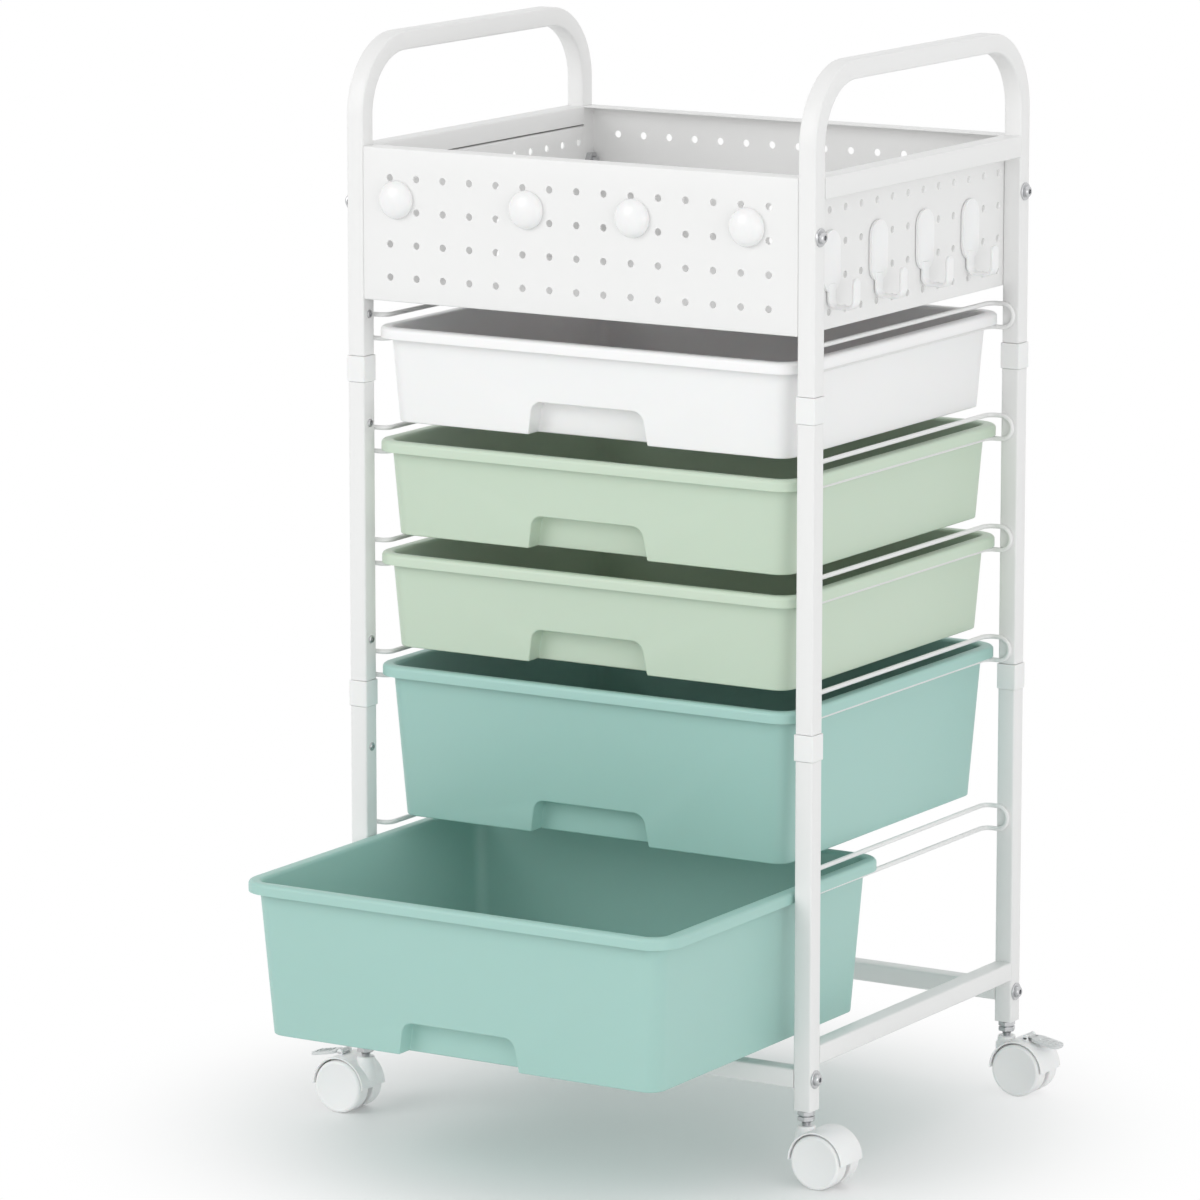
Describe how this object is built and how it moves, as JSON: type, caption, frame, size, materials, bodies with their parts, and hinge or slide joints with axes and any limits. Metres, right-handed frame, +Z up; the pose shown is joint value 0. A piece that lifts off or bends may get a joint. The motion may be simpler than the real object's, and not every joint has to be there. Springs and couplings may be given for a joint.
{
  "type": "rolling storage cart",
  "caption": "Rolling storage cart with a pegboard tray over drawers that slide on wire rails, two handle loops and swivel casters, two of them with brakes",
  "frame": {"origin": "on the floor, under the middle of the cart's outline with its lowest drawer pulled out", "axes": "+X to the right as seen from the drawer fronts, +Y to the rear, +Z up"},
  "size_m": [0.5328, 0.5666, 0.9076],
  "materials": {
    "frame_white": "satin powder coat",
    "zinc_plated": "zinc plated",
    "connector_white": "moulded",
    "magnet_white": "gloss",
    "hook_white": "moulded",
    "drawer_white": "moulded",
    "drawer_green": "moulded",
    "drawer_teal": "moulded",
    "caster_white": "moulded",
    "wheel_white": "moulded",
    "pedal_clear": "translucent"
  },
  "bodies": {
    "frame": {"lower_post_front_left": "frame_white", "middle_post_front_left": "frame_white", "lower_post_front_right": "frame_white", "middle_post_front_right": "frame_white", "lower_post_rear_left": "frame_white", "middle_post_rear_left": "frame_white", "lower_post_rear_right": "frame_white", "middle_post_rear_right": "frame_white", "handle_loop_left": "frame_white", "handle_loop_right": "frame_white", "tray_panel_front": "frame_white", "base_beam_front": "frame_white", "tray_panel_rear": "frame_white", "base_beam_rear": "frame_white", "tray_panel_left": "frame_white", "base_beam_left": "frame_white", "tray_panel_right": "frame_white", "base_beam_right": "frame_white", "tray_floor": "frame_white", "tube_connectors": "connector_white", "connector_screws": "zinc_plated", "frame_bolts": "zinc_plated", "threaded_inserts": "zinc_plated", "caster_stems": "zinc_plated", "caster_jam_nuts": "zinc_plated", "rail_1_left": "frame_white", "rail_1_right": "frame_white", "rail_2_left": "frame_white", "rail_2_right": "frame_white", "rail_3_left": "frame_white", "rail_3_right": "frame_white", "rail_4_left": "frame_white", "rail_4_right": "frame_white", "rail_5_left": "frame_white", "rail_5_right": "frame_white", "panel_magnets": "magnet_white", "peg_hooks": "hook_white"},
    "drawer_1_body": {"drawer_1": "drawer_white"},
    "drawer_2_body": {"drawer_2": "drawer_green"},
    "drawer_3_body": {"drawer_3": "drawer_green"},
    "drawer_4_body": {"drawer_4": "drawer_teal"},
    "drawer_5_body": {"drawer_5": "drawer_teal"},
    "caster_front_left": {"caster_hood_front_left": "caster_white", "caster_axle_front_left": "zinc_plated"},
    "wheel_front_left_front": {"caster_wheel_front_left_front": "wheel_white"},
    "wheel_front_left_rear": {"caster_wheel_front_left_rear": "wheel_white"},
    "caster_front_right": {"caster_hood_front_right": "caster_white", "caster_axle_front_right": "zinc_plated"},
    "wheel_front_right_front": {"caster_wheel_front_right_front": "wheel_white"},
    "wheel_front_right_rear": {"caster_wheel_front_right_rear": "wheel_white"},
    "caster_rear_left": {"caster_hood_rear_left": "caster_white", "caster_axle_rear_left": "zinc_plated"},
    "wheel_rear_left_front": {"caster_wheel_rear_left_front": "wheel_white"},
    "wheel_rear_left_rear": {"caster_wheel_rear_left_rear": "wheel_white"},
    "caster_rear_right": {"caster_hood_rear_right": "caster_white", "caster_axle_rear_right": "zinc_plated"},
    "wheel_rear_right_front": {"caster_wheel_rear_right_front": "wheel_white"},
    "wheel_rear_right_rear": {"caster_wheel_rear_right_rear": "wheel_white"},
    "pedal_front_left": {"brake_pedal_front_left": "pedal_clear"},
    "pedal_rear_right": {"brake_pedal_rear_right": "pedal_clear"}
  },
  "joints": [
    {"name": "drawer_1_slide", "type": "slide", "parent": "frame", "child": "drawer_1_body", "axis": [0, -1, 0], "range_m": [0, 0.22]},
    {"name": "drawer_2_slide", "type": "slide", "parent": "frame", "child": "drawer_2_body", "axis": [0, -1, 0], "range_m": [0, 0.22]},
    {"name": "drawer_3_slide", "type": "slide", "parent": "frame", "child": "drawer_3_body", "axis": [0, -1, 0], "range_m": [0, 0.22]},
    {"name": "drawer_4_slide", "type": "slide", "parent": "frame", "child": "drawer_4_body", "axis": [0, -1, 0], "range_m": [0, 0.22]},
    {"name": "drawer_5_slide", "type": "slide", "parent": "frame", "child": "drawer_5_body", "axis": [0, -1, 0], "range_m": [-0.2, 0.02]},
    {"name": "swivel_front_left", "type": "hinge", "parent": "frame", "child": "caster_front_left", "pos_m": [-0.21325, -0.07885, 0.0482], "axis": [0, 0, 1], "continuous": true},
    {"name": "roll_front_left_front", "type": "hinge", "parent": "caster_front_left", "child": "wheel_front_left_front", "pos_m": [-0.23075, -0.07885, 0.0225], "axis": [0, 1, 0], "continuous": true},
    {"name": "roll_front_left_rear", "type": "hinge", "parent": "caster_front_left", "child": "wheel_front_left_rear", "pos_m": [-0.23075, -0.07885, 0.0225], "axis": [0, 1, 0], "continuous": true},
    {"name": "swivel_front_right", "type": "hinge", "parent": "frame", "child": "caster_front_right", "pos_m": [0.21325, -0.07885, 0.0482], "axis": [0, 0, 1], "continuous": true},
    {"name": "roll_front_right_front", "type": "hinge", "parent": "caster_front_right", "child": "wheel_front_right_front", "pos_m": [0.23075, -0.07885, 0.0225], "axis": [0, 1, 0], "continuous": true},
    {"name": "roll_front_right_rear", "type": "hinge", "parent": "caster_front_right", "child": "wheel_front_right_rear", "pos_m": [0.23075, -0.07885, 0.0225], "axis": [0, 1, 0], "continuous": true},
    {"name": "swivel_rear_left", "type": "hinge", "parent": "frame", "child": "caster_rear_left", "pos_m": [-0.21325, 0.26535, 0.0482], "axis": [0, 0, 1], "continuous": true},
    {"name": "roll_rear_left_front", "type": "hinge", "parent": "caster_rear_left", "child": "wheel_rear_left_front", "pos_m": [-0.23075, 0.26535, 0.0225], "axis": [0, 1, 0], "continuous": true},
    {"name": "roll_rear_left_rear", "type": "hinge", "parent": "caster_rear_left", "child": "wheel_rear_left_rear", "pos_m": [-0.23075, 0.26535, 0.0225], "axis": [0, 1, 0], "continuous": true},
    {"name": "swivel_rear_right", "type": "hinge", "parent": "frame", "child": "caster_rear_right", "pos_m": [0.21325, 0.26535, 0.0482], "axis": [0, 0, 1], "continuous": true},
    {"name": "roll_rear_right_front", "type": "hinge", "parent": "caster_rear_right", "child": "wheel_rear_right_front", "pos_m": [0.23075, 0.26535, 0.0225], "axis": [0, 1, 0], "continuous": true},
    {"name": "roll_rear_right_rear", "type": "hinge", "parent": "caster_rear_right", "child": "wheel_rear_right_rear", "pos_m": [0.23075, 0.26535, 0.0225], "axis": [0, 1, 0], "continuous": true},
    {"name": "brake_front_left", "type": "hinge", "parent": "caster_front_left", "child": "pedal_front_left", "pos_m": [-0.23475, -0.07885, 0.0503], "axis": [0, -1, 0], "range_deg": [0, 10]},
    {"name": "brake_rear_right", "type": "hinge", "parent": "caster_rear_right", "child": "pedal_rear_right", "pos_m": [0.23475, 0.26535, 0.0503], "axis": [0, 1, 0], "range_deg": [0, 10]}
  ]
}
